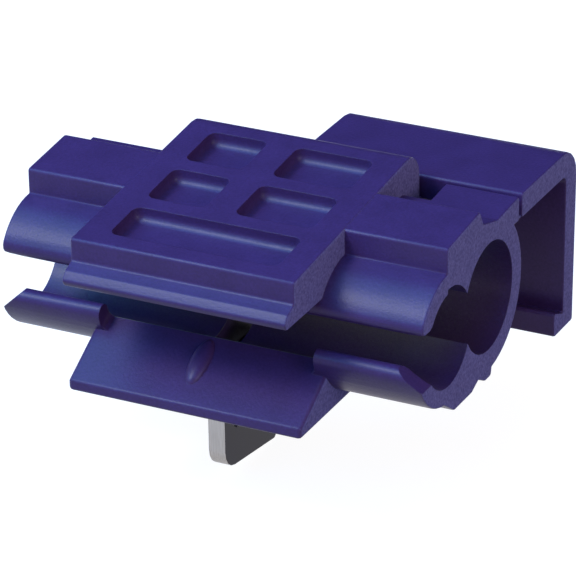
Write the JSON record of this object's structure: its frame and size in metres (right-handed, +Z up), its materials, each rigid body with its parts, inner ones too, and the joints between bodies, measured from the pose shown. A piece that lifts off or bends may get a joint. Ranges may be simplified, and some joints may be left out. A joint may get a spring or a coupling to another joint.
{
  "type": "t-tap wire connector",
  "caption": "Blue moulded tap connector with two parallel wire channels, a pressing pad, a hook-ended hinged cover and a slotted contact blade that is pressed up into both wires",
  "frame": {"origin": "on the centre line of the run wire's channel, at mid-length", "axes": "X along both wires, Y to the back, where the cover hangs, Z up through the pressing pad"},
  "size_m": [0.02, 0.0194, 0.0134],
  "materials": {
    "body": "moulded satin",
    "cover": "moulded satin",
    "contact": "tin plated"
  },
  "bodies": {
    "body": {"connector_body": "body"},
    "cover": {"cover": "cover"},
    "contact": {"contact_blade": "contact"}
  },
  "joints": [
    {"name": "cover_close", "type": "hinge", "parent": "body", "child": "cover", "pos_m": [0.00462, 0.0075, 0.00239], "axis": [-1, 0, 0], "range_deg": [0, 68]},
    {"name": "contact_press", "type": "slide", "parent": "body", "child": "contact", "axis": [0, 0, 1], "range_m": [0, 0.00505]}
  ],
  "couplings": [
    {"joint": "cover_close", "follows": "contact_press", "rad_per_m": 235}
  ]
}
